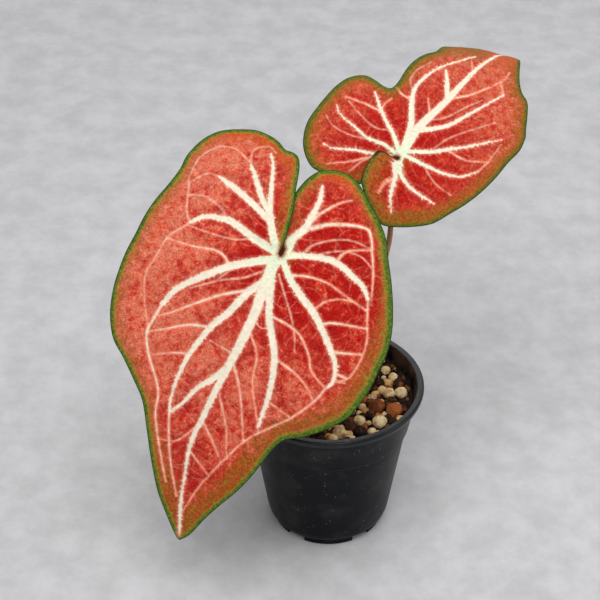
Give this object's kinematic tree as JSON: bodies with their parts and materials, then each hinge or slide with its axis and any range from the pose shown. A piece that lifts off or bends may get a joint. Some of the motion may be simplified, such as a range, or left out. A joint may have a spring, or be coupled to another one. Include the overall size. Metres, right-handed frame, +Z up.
{
  "type": "potted caladium",
  "caption": "Young potted caladium, a relative of colocasia, with red, cream-veined leaves in a round black plastic nursery pot of gritty soil.",
  "frame": {"origin": "middle of the pot's underside, on the flush disc inside its foot ring", "axes": "+Z up, -Y towards the side that the leaves face, +X to the right as seen from that side"},
  "size_m": [0.1906, 0.1803, 0.2058],
  "materials": {
    "pot_plastic": "satin black polypropylene, dusty, with light scuffs",
    "soil": "dark soil with bark and cream pumice grains, matt",
    "tuber": "rough brown skin, matt",
    "stalk": "smooth brownish green skin, satin",
    "leaf_large": "red blade with cream veins and a green edge, satin",
    "leaf_small": "red to olive blade with cream veins and a green edge, satin"
  },
  "bodies": {
    "root": {"pot": "pot_plastic", "soil": "soil", "tuber": "tuber", "stalk_large": "stalk", "stalk_small": "stalk", "leaf_large": "leaf_large", "leaf_small": "leaf_small"}
  },
  "joints": []
}
